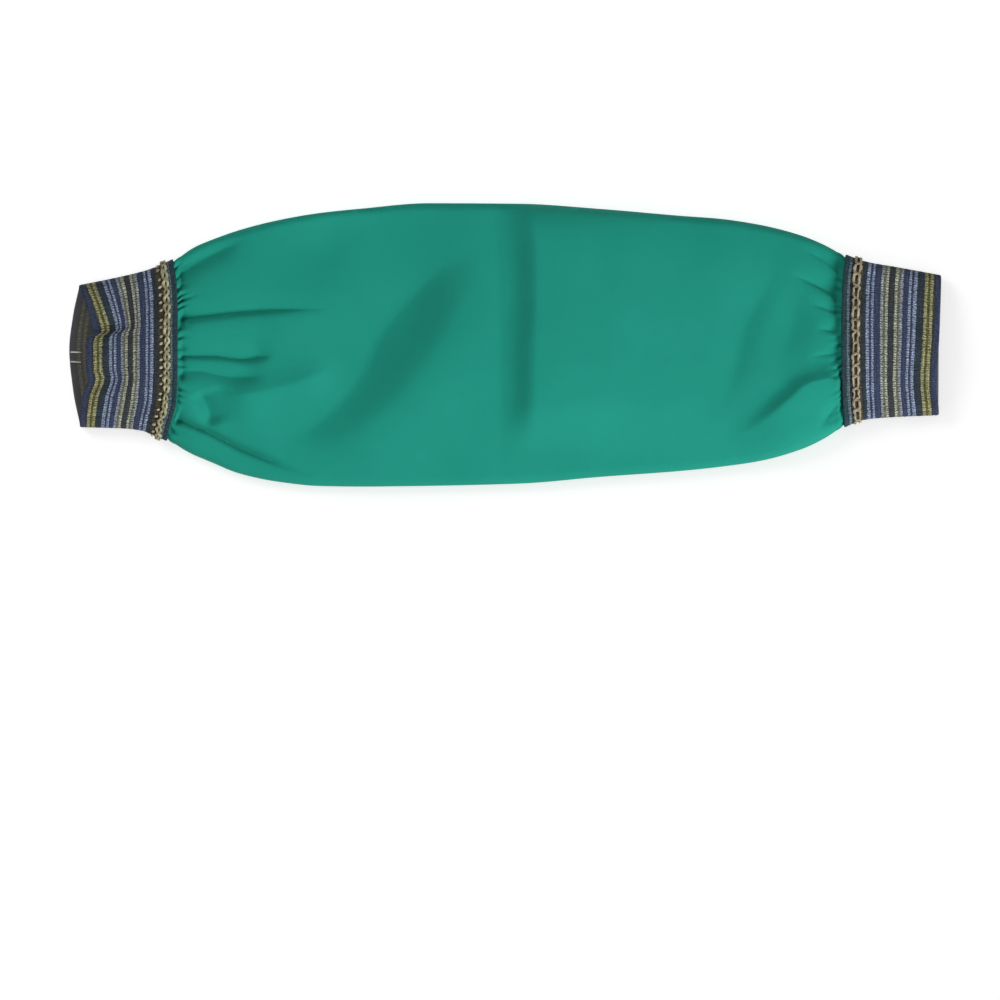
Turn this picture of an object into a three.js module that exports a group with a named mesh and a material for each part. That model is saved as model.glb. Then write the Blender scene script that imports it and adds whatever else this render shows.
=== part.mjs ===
// Flame-resistant work sleeve, lying flat: a green cotton tube gathered into a striped elastic cuff at
// each end. +X runs along the sleeve from the upper arm to the wrist, +Y across it, +Z up from the surface
// that it lies on. The origin is the middle of the underside. All sizes are millimetres.
import * as THREE from "three";

// Driving dimensions
const SLEEVE_LENGTH = 457; // 18 in, from the outermost rim of one cuff to that of the other
const ELASTIC_WIDTH = 50.8; // 2 in webbing
const ELASTIC_WALL = 2;
const CLOTH_WALL = 1.4;
const SEWN_GAP = 0.3; // between the elastic and the cloth that it is sewn on
const SEAM_ALLOWANCE = 12; // cloth that runs on under the elastic
const SEAM_HOLD = 1; // how far past its edge the elastic still holds the cloth flat
const UNDER_LAYER_REACH = 4.7; // how far the open cuff's lower layer stands out past its upper one
const UPPER_ARM_SEAM_X = -SLEEVE_LENGTH / 2 + UNDER_LAYER_REACH + ELASTIC_WIDTH;
const WRIST_SEAM_X = SLEEVE_LENGTH / 2 - ELASTIC_WIDTH;

// Shape of a section: a thin flat tube with round edges, and a dome on its upper layer
const EDGE_POWER = 0.34; // under 1: the nearer to 0, the squarer the edges
const UPPER_DOME_POWER = 2.8; // over 2: the crown is flatter than an arc, and its side steeper
const LOWER_DOME_POWER = 3.6; // the same for the half towards the lower edge, which is fuller
const UNDERSIDE_FLAT = 1.08; // over 1: the share of the underside that lies flat grows with it
const OUTLINE_DIVISIONS = 600; // fineness with which the length of an outline is measured

// Columns of the mesh round a section. Every GATHER_COLUMNS-th one is the bottom of a gather.
const TOP_COLUMNS = 39;
const UNDER_COLUMNS = 21;
const GATHER_COLUMNS = 3;
const GATHER_DEPTH = 2.4;
const GATHER_LENGTH = 26; // distance from the elastic over which a gather dies away
const GATHER_SHARPNESS = 1.5; // over 1: valleys narrower than the ridges between them
const GATHER_VARIATION = 0.2;
const GATHER_TURN = 2.4; // radians from one gather to the next, so that neighbours differ in depth
const SEWN_GATHER_DEPTH = 0.5; // what the stitching leaves of a gather

// Cloth between the two cuffs: each edge's Y, the height of the edge fold, and the height of the crown.
const BODY_SECTIONS = [
  { x: -168.5, upper: 48.2, lower: -53.2, edge: 10.5, crown: 22 },
  { x: -160, upper: 52.6, lower: -58.4, edge: 9, crown: 23 },
  { x: -139, upper: 60.4, lower: -67.6, edge: 7.5, crown: 23.5 },
  { x: -118, upper: 65.7, lower: -72.0, edge: 6.5, crown: 23 },
  { x: -92, upper: 69.8, lower: -74.3, edge: 5.5, crown: 22 },
  { x: -40, upper: 74.4, lower: -74.0, edge: 5, crown: 20.5 },
  { x: 8, upper: 74.1, lower: -72.8, edge: 5, crown: 19.5 },
  { x: 50, upper: 71.4, lower: -69.3, edge: 5, crown: 19.5 },
  { x: 92, upper: 67.8, lower: -66.2, edge: 5.5, crown: 20.5 },
  { x: 134, upper: 63.0, lower: -60.9, edge: 7, crown: 22 },
  { x: 155, upper: 57.6, lower: -55.0, edge: 8.5, crown: 22 },
  { x: 173, upper: 50.0, lower: -46.6, edge: 10.5, crown: 20.5 },
];

// Stretches of cloth between the cuffs, cut into equal steps: short ones where it is gathered or creased.
const BODY_STRETCHES = [
  { from: -168.5, to: -139, steps: 5 },
  { from: -139, to: -97, steps: 4 },
  { from: -97, to: 0, steps: 7 },
  { from: 0, to: 24, steps: 4 },
  { from: 24, to: 134, steps: 7 },
  { from: 134, to: 173, steps: 5 },
];

// Folds pressed into the upper layer: a bent line from, via and to, its depth, and the width of the slope
// on each side of it, left and right of the way that it runs.
const FOLDS = [
  { name: "upper_edge", from: [-170, 34], via: [-152, 52], to: [-128, 59], depth: 4, left: 5, right: 7 },
  { name: "long_crease", from: [-172, 13], via: [-130, 18], to: [-91, 20], depth: 4, left: 5, right: 4 },
  { name: "middle_crease", from: [-172, -7], via: [-145, -8], to: [-123, -6], depth: 4.5, left: 4, right: 6 },
  { name: "soft_hollow", from: [-125, -21], via: [-103, -18], to: [-66, -2], depth: 3, left: 9, right: 7 },
  { name: "lower_crease", from: [-172, -35], via: [-140, -52], to: [-105, -67], depth: 4, left: 5, right: 5 },
  { name: "broad_dent", from: [-108, -58], via: [-18, -25], to: [-17, 40], depth: 7, left: 24, right: 13 },
  { name: "half_fold", from: [21, 66], via: [19, 0], to: [13, -56], depth: 5, left: 30, right: 13 },
  { name: "wrist_arch", from: [178, -17], via: [158, -15], to: [114, -62], depth: 4.5, left: 5, right: 9 },
  { name: "wrist_upper", from: [178, 23], via: [162, 36], to: [144, 45], depth: 3, left: 5, right: 5 },
  { name: "wrist_hollow", from: [176, 12], via: [162, 14], to: [147, 10], depth: 2.5, left: 8, right: 8 },
  { name: "wrist_band", from: [131, 33], via: [130, -4], to: [116, -36], depth: 2.5, left: 9, right: 9 },
];
const FOLD_SAMPLES = 24;
const FOLD_END_SHARE = 0.35; // the last share of a fold's length, over which it fades out
const FOLD_EDGE_POWER = 4; // the nearer to an edge of the sleeve, the less a fold shows

// Cuffs: their sections from the seam to the mouth, the bow of the seam, and the mouth's rim round each
// layer. across is -1 at the lower edge and 1 at the upper one, reach is how far the seam or the rim stands
// out towards the mouth, and dip how far the rim sags.
const CUFFS = [
  {
    name: "upper_arm_cuff",
    seam: UPPER_ARM_SEAM_X,
    toMouth: -1,
    sections: [
      { along: 0, upper: 45.2, lower: -50.6, edge: 12, crown: 20 },
      { along: 8, upper: 41.6, lower: -47.6, edge: 11.5, crown: 19.5 },
      { along: 14, upper: 39.4, lower: -45.3, edge: 11, crown: 19 },
      { along: 25, upper: 36.7, lower: -44.1, edge: 11, crown: 19 },
      { along: ELASTIC_WIDTH, upper: 31.6, lower: -43.4, edge: 11, crown: 19 },
    ],
    seamBow: [
      { across: -1, reach: 4.6 },
      { across: -0.85, reach: 2.8 },
      { across: -0.6, reach: -0.4 },
      { across: -0.2, reach: -1.4 },
      { across: 0.4, reach: -1.4 },
      { across: 0.75, reach: -0.6 },
      { across: 1, reach: 1.4 },
    ],
    topRim: [
      { across: -1, reach: -1.1, dip: 0 },
      { across: -0.6, reach: -2.6, dip: 0.5 },
      { across: -0.3, reach: -5.6, dip: 3 },
      { across: -0.1, reach: -4.9, dip: 1 },
      { across: 0.18, reach: -4.8, dip: 1 },
      { across: 0.34, reach: -8.4, dip: 4.2 },
      { across: 0.65, reach: -5.6, dip: 1.6 },
      { across: 1, reach: -0.6, dip: 0 },
    ],
    underRim: [
      { across: -1, reach: -1.1, dip: 0 },
      { across: -0.5, reach: 2.6, dip: 0 },
      { across: 0.1, reach: UNDER_LAYER_REACH, dip: 0 },
      { across: 0.6, reach: 2.6, dip: 0 },
      { across: 1, reach: -0.6, dip: 0 },
    ],
  },
  {
    name: "wrist_cuff",
    seam: WRIST_SEAM_X,
    toMouth: 1,
    sections: [
      { along: 0, upper: 47.6, lower: -43.5, edge: 12, crown: 19 },
      { along: 8, upper: 44.7, lower: -40.1, edge: 11.5, crown: 18.5 },
      { along: 14, upper: 43.2, lower: -39.0, edge: 11, crown: 18 },
      { along: 25, upper: 41.4, lower: -38.2, edge: 11, crown: 17.5 },
      { along: ELASTIC_WIDTH, upper: 36.8, lower: -37.1, edge: 10.5, crown: 17 },
    ],
    seamBow: [
      { across: -1, reach: 0.6 },
      { across: -0.5, reach: -1.1 },
      { across: 0.2, reach: -1.3 },
      { across: 0.7, reach: -0.6 },
      { across: 1, reach: 1.3 },
    ],
    topRim: [
      { across: -1, reach: -1.2, dip: 0 },
      { across: -0.5, reach: -2.6, dip: 1.2 },
      { across: 0.1, reach: -1.4, dip: 0.4 },
      { across: 1, reach: 0, dip: 0 },
    ],
    underRim: [
      { across: -1, reach: -1.2, dip: 0 },
      { across: 0, reach: -1, dip: 0 },
      { across: 1, reach: 0, dip: 0 },
    ],
  },
];
const CUFF_STEPS = 4;
const SEWN_BAND = SEAM_ALLOWANCE + 1; // the part of a cuff that the seam keeps straight
const RIM_BAND_FROM = 46; // past the sewn band, the cuff bends until here, and its rim then runs straight
const BOW_LENGTH = 24; // distance from a seam over which its bow dies away in the cloth

// A smooth curve through every column of a table, looked up by its key column.
function tableReader(rows, key) {
  const columns = Object.keys(rows[0]).filter((column) => column !== key);
  const keys = rows.map((row) => row[key]);
  const values = rows.flatMap((row) => columns.map((column) => row[column]));
  const interpolant = new THREE.CubicInterpolant(keys, values, columns.length);
  return (at) => {
    const found = interpolant.evaluate(THREE.MathUtils.clamp(at, keys[0], keys.at(-1)));
    return Object.fromEntries(columns.map((column, i) => [column, found[i]]));
  };
}

const bodyTable = tableReader(BODY_SECTIONS, "x");
for (const cuff of CUFFS) {
  cuff.table = tableReader(cuff.sections, "along");
  cuff.seamBowTable = tableReader(cuff.seamBow, "across");
  cuff.topRimTable = tableReader(cuff.topRim, "across");
  cuff.underRimTable = tableReader(cuff.underRim, "across");
}

const signedPower = (value, power) => Math.sign(value) * Math.abs(value) ** power;

// The same section, moved inwards by a distance all round.
function insetSection(section, by) {
  return {
    upper: section.upper - by,
    lower: section.lower + by,
    base: section.base + by,
    edge: section.edge - 2 * by,
    crown: section.crown - by,
  };
}

// Half of a section's outline: the upper layer from the +Y edge to the -Y edge, or the lower layer back.
class LayerCurve extends THREE.Curve {
  constructor(section, isTop) {
    super();
    this.section = section;
    this.isTop = isTop;
    this.arcLengthDivisions = OUTLINE_DIVISIONS;
  }

  getPoint(t) {
    const { upper, lower, base, edge, crown } = this.section;
    const angle = Math.PI * (this.isTop ? t : 1 + t);
    const across = signedPower(Math.cos(angle), EDGE_POWER);
    const rise = Math.abs(Math.sin(angle)) ** EDGE_POWER;
    const y = (upper + lower) / 2 + ((upper - lower) / 2) * across;
    const domePower = across > 0 ? UPPER_DOME_POWER : LOWER_DOME_POWER;
    const dome = (crown - base - edge) * (1 - Math.abs(across) ** domePower);
    const z = this.isTop
      ? base + (edge / 2) * (1 + rise) + dome
      : base + Math.max(0, (edge / 2) * (1 - UNDERSIDE_FLAT * rise));
    return new THREE.Vector3(0, y, z);
  }
}

// Points evenly spaced round each layer of a section, with the way in and the place of each.
function sectionPoints(section) {
  const layers = [
    { isTop: true, columns: TOP_COLUMNS },
    { isTop: false, columns: UNDER_COLUMNS },
  ];
  const middle = (section.upper + section.lower) / 2;
  const half = (section.upper - section.lower) / 2;
  return layers.flatMap(({ isTop, columns }) => {
    const curve = new LayerCurve(section, isTop);
    return Array.from({ length: columns }, (_, column) => {
      const share = column / columns;
      const point = curve.getPointAt(share);
      const tangent = curve.getTangentAt(share);
      const inward = new THREE.Vector3(0, -tangent.z, tangent.y);
      return { point, inward, isTop, column, across: (point.y - middle) / half };
    });
  });
}

// The skins of a wall, outer then inner, and the two rims that close it into one solid. Rows run towards +X.
function wallGeometry(outerRows, innerRows) {
  const around = outerRows[0].length;
  const rowCount = outerRows.length;
  const index = [];
  const addQuad = (a, b, c, d) => index.push(a, b, c, a, c, d);
  const outer = (row, column) => row * around + (column % around);
  const inner = (row, column) => rowCount * around + outer(row, column);
  const last = rowCount - 1;
  for (let column = 0; column < around; column++) {
    const next = column + 1;
    for (let row = 0; row < last; row++) {
      addQuad(outer(row, column), outer(row, next), outer(row + 1, next), outer(row + 1, column));
      addQuad(inner(row, next), inner(row, column), inner(row + 1, column), inner(row + 1, next));
    }
    addQuad(outer(0, next), outer(0, column), inner(0, column), inner(0, next));
    addQuad(outer(last, column), outer(last, next), inner(last, next), inner(last, column));
  }
  const geometry = new THREE.BufferGeometry().setFromPoints([...outerRows, ...innerRows].flat());
  geometry.setIndex(index);
  geometry.computeVertexNormals();
  return geometry;
}

// Cuffs of striped elastic
const elasticMaterial = () =>
  new THREE.MeshStandardMaterial({ color: 0x474c5e, roughness: 0.9, metalness: 0 });

const cuffSection = (cuff, along) => ({ base: 0, ...cuff.table(along) });

// How far the bow of a seam moves what lies along from it: elastic up to the mouth, or cloth behind it.
function seamBow(cuff, along, across) {
  const share = along > 0 ? 1 - along / ELASTIC_WIDTH : THREE.MathUtils.smoothstep(along, -BOW_LENGTH, 0);
  return cuff.seamBowTable(across).reach * share;
}

function cuffRow(cuff, along, inset) {
  const section = insetSection(cuffSection(cuff, along), inset);
  const bend = THREE.MathUtils.smoothstep(along, SEWN_BAND, RIM_BAND_FROM);
  return sectionPoints(section).map(({ point, isTop, across }) => {
    const rim = isTop ? cuff.topRimTable(across) : cuff.underRimTable(across);
    const x = cuff.seam + cuff.toMouth * (along + rim.reach * bend + seamBow(cuff, along, across));
    return new THREE.Vector3(x, point.y, point.z - rim.dip * bend);
  });
}

function makeCuff(cuff) {
  const alongs = Array.from({ length: CUFF_STEPS + 1 }, (_, step) => (ELASTIC_WIDTH * step) / CUFF_STEPS);
  if (cuff.toMouth < 0) alongs.reverse();
  const skin = (inset) => alongs.map((along) => cuffRow(cuff, along, inset));
  const mesh = new THREE.Mesh(wallGeometry(skin(0), skin(ELASTIC_WALL)), elasticMaterial());
  mesh.name = cuff.name;
  return mesh;
}

// Body of green cotton
const clothMaterial = () =>
  new THREE.MeshStandardMaterial({ color: 0x24917a, roughness: 0.75, metalness: 0 });

const foldCurves = FOLDS.map((fold) => {
  const ends = [fold.from, fold.via, fold.to].map(([x, y]) => new THREE.Vector2(x, y));
  return new THREE.QuadraticBezierCurve(...ends).getSpacedPoints(FOLD_SAMPLES);
});

// How far the folds push the upper layer down at a place.
function foldDepth(x, y) {
  const place = new THREE.Vector2(x, y);
  return FOLDS.reduce((sum, fold, i) => {
    const line = foldCurves[i];
    const distances = line.map((sample) => sample.distanceTo(place));
    const nearest = distances.indexOf(Math.min(...distances));
    const before = line[Math.max(nearest - 1, 0)];
    const after = line[Math.min(nearest + 1, FOLD_SAMPLES)];
    const side = after.clone().sub(before).cross(place.clone().sub(line[nearest]));
    const width = side > 0 ? fold.left : fold.right;
    const toEnd = 1 - nearest / FOLD_SAMPLES;
    const fade = THREE.MathUtils.smoothstep(toEnd, 0, FOLD_END_SHARE);
    return sum + fold.depth * fade * Math.exp(-((distances[nearest] / width) ** 2));
  }, 0);
}

// The cuff that holds the cloth at a place, if one does.
const cuffOver = (x) => CUFFS.find((cuff) => (x - cuff.seam) * cuff.toMouth > -SEAM_HOLD);

// How deep the gathers are along the sleeve: pressed flat under the stitching, deepest as they leave it.
function gatherDepth(x) {
  const fromSeam = Math.min(x - UPPER_ARM_SEAM_X, WRIST_SEAM_X - x);
  return cuffOver(x) ? SEWN_GATHER_DEPTH : GATHER_DEPTH * Math.exp(-((fromSeam / GATHER_LENGTH) ** 2));
}

// A gather is a narrow valley between two wide round ridges, each a little deeper or shallower than the next.
function gatherShare(column) {
  const turns = column / GATHER_COLUMNS;
  const valley = (0.5 + 0.5 * Math.cos(2 * Math.PI * turns)) ** GATHER_SHARPNESS;
  return valley * (1 - GATHER_VARIATION + GATHER_VARIATION * Math.sin(GATHER_TURN * Math.round(turns)));
}

function bodySection(x) {
  const cuff = cuffOver(x);
  if (!cuff) return { base: 0, ...bodyTable(x) };
  return insetSection(cuffSection(cuff, (x - cuff.seam) * cuff.toMouth), ELASTIC_WALL + SEWN_GAP);
}

function bodyRow(x, inset) {
  const points = sectionPoints(insetSection(bodySection(x), inset));
  return points.map(({ point, inward, isTop, column, across }) => {
    const moved = point.clone().addScaledVector(inward, gatherDepth(x) * gatherShare(column));
    const awayFromEdges = 1 - Math.abs(across) ** FOLD_EDGE_POWER;
    if (isTop && !cuffOver(x)) moved.z -= foldDepth(x, point.y) * awayFromEdges;
    const bows = CUFFS.map((cuff) => cuff.toMouth * seamBow(cuff, (x - cuff.seam) * cuff.toMouth, across));
    return moved.setX(bows.reduce((sum, bow) => sum + bow, x));
  });
}

function makeBody() {
  const tucked = [SEAM_ALLOWANCE, SEAM_ALLOWANCE / 2, -SEAM_HOLD / 2];
  const stations = [
    ...tucked.map((under) => UPPER_ARM_SEAM_X - under),
    ...BODY_STRETCHES.flatMap(({ from, to, steps }) =>
      Array.from({ length: steps }, (_, step) => from + ((to - from) * step) / steps),
    ),
    BODY_STRETCHES.at(-1).to,
    ...tucked.toReversed().map((under) => WRIST_SEAM_X + under),
  ];
  const skin = (inset) => stations.map((x) => bodyRow(x, inset));
  const mesh = new THREE.Mesh(wallGeometry(skin(0), skin(CLOTH_WALL)), clothMaterial());
  mesh.name = "sleeve_body";
  return mesh;
}

// The sleeve, set down with the middle of its underside at the origin
const pieces = new THREE.Group();
pieces.add(makeBody(), ...CUFFS.map(makeCuff));
const box = new THREE.Box3().setFromObject(pieces, true);
const middle = box.getCenter(new THREE.Vector3());
pieces.position.set(-middle.x, -middle.y, -box.min.z);

const sleeve = new THREE.Group();
sleeve.name = "flame_resistant_sleeve";
sleeve.add(pieces);

export default sleeve;
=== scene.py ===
import bpy
import numpy as np
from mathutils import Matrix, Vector


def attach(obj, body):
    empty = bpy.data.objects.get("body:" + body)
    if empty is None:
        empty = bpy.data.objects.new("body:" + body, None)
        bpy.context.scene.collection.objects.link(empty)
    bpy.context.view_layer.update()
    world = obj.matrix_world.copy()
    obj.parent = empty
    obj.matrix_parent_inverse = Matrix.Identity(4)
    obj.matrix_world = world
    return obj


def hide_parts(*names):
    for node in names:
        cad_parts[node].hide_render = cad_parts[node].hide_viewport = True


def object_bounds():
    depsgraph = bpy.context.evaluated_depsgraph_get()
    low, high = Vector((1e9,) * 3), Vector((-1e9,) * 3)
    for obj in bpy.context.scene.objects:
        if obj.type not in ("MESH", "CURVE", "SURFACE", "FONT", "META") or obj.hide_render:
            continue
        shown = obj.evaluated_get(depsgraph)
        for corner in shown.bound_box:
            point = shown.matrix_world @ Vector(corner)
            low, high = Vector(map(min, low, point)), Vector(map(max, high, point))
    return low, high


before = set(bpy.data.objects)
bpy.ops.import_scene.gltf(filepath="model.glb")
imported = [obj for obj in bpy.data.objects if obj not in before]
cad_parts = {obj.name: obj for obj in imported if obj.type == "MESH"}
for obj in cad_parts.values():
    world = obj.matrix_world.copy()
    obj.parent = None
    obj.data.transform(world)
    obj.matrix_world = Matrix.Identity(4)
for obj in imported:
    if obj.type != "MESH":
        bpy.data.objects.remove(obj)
cad_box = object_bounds()

# Sleeve body
# One tube of green flame-resistant cotton, cut straight and gathered into the elastic at both ends. It
# lies flat, so each side is a soft fold, and the upper layer keeps the creases of gathers and of packing.
MM = 0.001
ELASTIC_WIDTH = 50.8
UNDER_LAYER_REACH = 4.7
ARM_SEAM = cad_box[0][0] / MM + UNDER_LAYER_REACH + ELASTIC_WIDTH
WRIST_SEAM = cad_box[1][0] / MM - ELASTIC_WIDTH
CUT_WIDTH = 305
CLOTH_THICKNESS = 1.1
SEAM_ALLOWANCE = 12
TUCK_UNDER_ELASTIC = 2.3
SWELL = 2.8
BOW_LENGTH = 24
CROWN_ACROSS = -0.18
DOME_POWER = 1.8
UNDERSIDE_FLAT = 1.08
OUTLINE_STEPS = 900
TOP_COLUMNS = 264
UNDER_COLUMNS = 72
LINING_STEP = 5
GATHER_SHARPNESS = 4
GATHER_FADING = 1.5
FOLDS_START = 3
SIDES_HOLD = 10

# Columns: place along the sleeve, upper edge, lower edge, height of the side fold, height of the crown
BODY_SECTIONS = (
    (-168.5, 48.2, -53.2, 10.0, 18.5),
    (-160.0, 52.6, -58.4, 9.8, 18.5),
    (-139.0, 60.4, -67.6, 9.5, 18.5),
    (-118.0, 65.7, -72.0, 9.3, 18.2),
    (-97.0, 69.3, -74.1, 9.0, 17.8),
    (-76.0, 71.5, -74.4, 9.0, 17.5),
    (-40.0, 74.4, -74.0, 9.0, 17.3),
    (8.0, 74.1, -72.8, 9.0, 17.0),
    (50.0, 71.4, -69.3, 9.0, 17.0),
    (92.0, 67.8, -66.2, 9.0, 17.3),
    (113.0, 66.2, -64.0, 9.2, 17.6),
    (134.0, 63.0, -60.9, 9.3, 17.8),
    (155.0, 57.6, -55.0, 9.0, 17.5),
    (173.0, 50.0, -46.6, 8.2, 16.8),
)

# Each end of the sleeve. Sections of the elastic, columns: distance from the seam, upper edge, lower
# edge, height of the side fold, height of the crown. Bow of the seam, columns: -1 at the lower edge to 1
# at the upper edge, how far the seam stands out towards the mouth.
ENDS = {
    "upper_arm": {
        "seam": ARM_SEAM,
        "to_mouth": -1,
        "sections": (
            (0.0, 45.2, -50.6, 12.0, 20.0),
            (8.0, 41.6, -47.6, 11.5, 19.5),
            (14.0, 39.4, -45.3, 11.0, 19.0),
            (25.0, 36.7, -44.1, 11.0, 19.0),
            (ELASTIC_WIDTH, 31.6, -43.4, 11.0, 19.0),
        ),
        "bow": ((-1, 4.6), (-0.85, 2.8), (-0.6, -0.4), (-0.2, -1.4), (0.4, -1.4), (0.75, -0.6), (1, 1.4)),
        "gather_share": 1.0,
        "seed": 4,
    },
    "wrist": {
        "seam": WRIST_SEAM,
        "to_mouth": 1,
        "sections": (
            (0.0, 47.6, -43.5, 12.0, 19.0),
            (8.0, 44.7, -40.1, 11.5, 18.5),
            (14.0, 43.2, -39.0, 11.0, 18.0),
            (25.0, 41.4, -38.2, 11.0, 17.5),
            (ELASTIC_WIDTH, 36.8, -37.1, 10.5, 17.0),
        ),
        "bow": ((-1, 0.6), (-0.5, -1.1), (0.2, -1.3), (0.7, -0.6), (1, 1.3)),
        "gather_share": 0.7,
        "seed": 9,
    },
}

# Columns: gathers round the sleeve, depth, distance in which they open, distance in which they die away
GATHERS = (
    (24, 3.4, 0.3, 3.4),
    (11, 1.6, 2.0, 7.0),
)

# Folds of the upper layer: their line, depth (below 0 for a raised roll), width on the left and right of
# the way it runs, sharpness (1 is a crease, 2 is soft), and the shares of its length that it fades over
FOLDS = {
    "upper_edge": (
        ((-173, 33.6), (-161, 42.8), (-149, 49.4), (-135, 57)),
        4.4, 12, 4, 1.2, 0.02, 0.4,
    ),
    "long_crease": (
        ((-173, 12.6), (-149, 15.5), (-131, 17.3), (-112, 18.4), (-88, 18.4)),
        4.2, 8, 1.5, 1.0, 0.02, 0.5,
    ),
    "middle_crease": (
        ((-173, -6.3), (-152, -6.3), (-136, -7.9), (-121, -5.8)),
        4.2, 6, 1.5, 1.0, 0.02, 0.2,
    ),
    "branch_crease": (
        ((-173, -14), (-160, -14), (-144, -17), (-125, -17)),
        3.6, 6, 4, 1.2, 0.05, 0.3,
    ),
    "soft_roll": (
        ((-150, -27), (-130, -25), (-112, -21), (-86, -10)),
        -4.0, 8, 14, 1.4, 0.25, 0.3,
    ),
    "short_hollow": (
        ((-160, -24), (-155.5, -34), (-153, -44)),
        4.2, 7, 4, 1.4, 0.2, 0.3,
    ),
    "lower_crease": (
        ((-173, -38.6), (-157, -45.2), (-138.7, -54.4), (-120.3, -62.2), (-100, -69.5)),
        5.6, 2.2, 1.6, 1.0, 0.02, 0.45,
    ),
    "broad_dent": (
        ((-8, 52), (-36, 37), (-50, 23), (-65, 5), (-74, -14), (-84, -28), (-99, -42), (-128, -54)),
        6.5, 22, 60, 1.25, 0.3, 0.2,
    ),
    "broad_roll": (
        ((-4, 56), (-22, 22), (-36, -4), (-52, -26), (-72, -44), (-112, -62)),
        -4.5, 26, 16, 1.8, 0.35, 0.25,
    ),
    "half_fold": (
        ((14, 96), (15.5, 66), (18, 48), (18.2, 24), (17, 0), (16.5, -26), (15.5, -42), (13, -58)),
        -7.2, 60, 10, 2.0, 0.12, 0.18,
    ),
    "half_mark": (
        ((-4.7, 90), (-3.7, 45), (-1.5, -50), (-1, -90)),
        0.5, 4, 5, 1.2, 0.1, 0.1,
    ),
    "upper_band": (
        ((-90, 100), (-91, 60), (-95, 22)),
        1.8, 13, 24, 1.6, 0.2, 0.4,
    ),
    "wrist_roll": (
        ((180, -20), (167, -18.5), (157.5, -21.5), (150, -28), (143, -34), (131, -43), (116, -52)),
        -5.2, 24, 5, 1.5, 0.06, 0.5,
    ),
    "wrist_upper": (
        ((179, 21), (166, 29.7), (148, 38)),
        3.8, 1.6, 5, 1.0, 0.02, 0.6,
    ),
    "wrist_corner": (
        ((179, 35), (166, 45), (152, 51)),
        1.8, 1.6, 5, 1.0, 0.02, 0.5,
    ),
    "wrist_pleat": (
        ((179, 14), (169, 18.5), (158, 22)),
        2.4, 1.4, 4, 1.0, 0.02, 0.6,
    ),
    "wrist_short_pleat": (
        ((179, 5), (170, 7.5), (162, 8.5)),
        2.2, 1.4, 3, 1.0, 0.02, 0.6,
    ),
    "wrist_low_pleat": (
        ((179, -5), (168, -5), (158, -7)),
        2.0, 3, 1.4, 1.0, 0.02, 0.6,
    ),
    "wrist_band": (
        ((148, 50), (138, 33), (126, 11), (120, -11), (108, -42)),
        3.0, 8, 24, 1.6, 0.4, 0.4,
    ),
    "wrist_side": (
        ((154, 40), (150, 10), (144, -20)),
        2.8, 10, 14, 1.8, 0.5, 0.5,
    ),
    "wrist_edge": (
        ((182, -36), (168, -46), (150, -55), (128, -62)),
        -3.2, 5, 11, 2.0, 0.05, 0.5,
    ),
    "wrist_lower": (
        ((179, -30), (172, -34), (167.5, -40), (165, -46)),
        4.2, 6, 2.5, 1.3, 0.02, 0.4,
    ),
}
HALF_FOLD_X = 15


def smooth_columns(rows, at):
    """The columns of a table after its first, as smooth curves over the first, read at given places."""
    table = np.array(rows, float)
    key = table[:, 0]
    step = np.diff(key)[:, None]
    rise = np.diff(table, axis=0) / step
    slope = np.vstack([rise[:1], np.zeros_like(rise[1:]), rise[-1:]])
    same_way = rise[:-1] * rise[1:] > 0
    both = np.where(same_way, rise[:-1] + rise[1:], 1)
    slope[1:-1] = np.where(same_way, 2 * rise[:-1] * rise[1:] / both, 0)
    places = np.clip(np.asarray(at, float), key[0], key[-1])
    i = np.clip(np.searchsorted(key, places) - 1, 0, len(key) - 2)
    t = ((places - key[i]) / step[i, 0])[:, None]
    ends = table[i] * (1 + 2 * t) * (1 - t) ** 2 + table[i + 1] * t**2 * (3 - 2 * t)
    bends = step[i] * (slope[i] * t * (1 - t) ** 2 - slope[i + 1] * t**2 * (1 - t))
    return (ends + bends)[:, 1:].T


def smooth_step(share):
    share = np.clip(share, 0, 1)
    return share * share * (3 - 2 * share)


def sections_on_floor(rows, at):
    """Sections read from a table, standing on the surface that the sleeve lies on."""
    upper, lower, edge, crown = smooth_columns(rows, at)
    return np.array([upper, lower, np.zeros_like(upper), edge, crown])


def inset(sections, by):
    """The same sections, moved inwards all round."""
    upper, lower, base, edge, crown = sections
    return np.array([upper - by, lower + by, base + by, edge - 2 * by, crown - by])


def layer_points(sections, is_top, columns):
    """Evenly spaced points round one layer of each section, from one side fold to the other."""
    upper, lower, base, edge, crown = (column[:, None] for column in sections)
    half_width = (upper - lower) / 2
    across = np.cos(np.linspace(0, np.pi, OUTLINE_STEPS))[None, :] * (1 if is_top else -1)
    from_fold = ((1 - np.abs(across)) * half_width / (edge / 2)).clip(0, 1)
    rise = np.sqrt(from_fold * (2 - from_fold))
    if is_top:
        to_crown = np.abs(across - CROWN_ACROSS) / (1 - np.sign(across - CROWN_ACROSS) * CROWN_ACROSS)
        z = base + edge / 2 * (1 + rise) + (crown - base - edge) * (1 - to_crown**DOME_POWER)
    else:
        z = base + (edge / 2 * (1 - UNDERSIDE_FLAT * rise)).clip(0)
    y = (upper + lower) / 2 + half_width * across
    travelled = np.cumsum(np.hypot(np.diff(y, prepend=y[:, :1]), np.diff(z, prepend=z[:, :1])), axis=1)
    shares = np.arange(columns) / columns
    rows = [
        (np.interp(shares * way[-1], way, row_y), np.interp(shares * way[-1], way, row_z))
        for way, row_y, row_z in zip(travelled, y, z)
    ]
    return np.array(rows).transpose(1, 0, 2)


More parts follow.
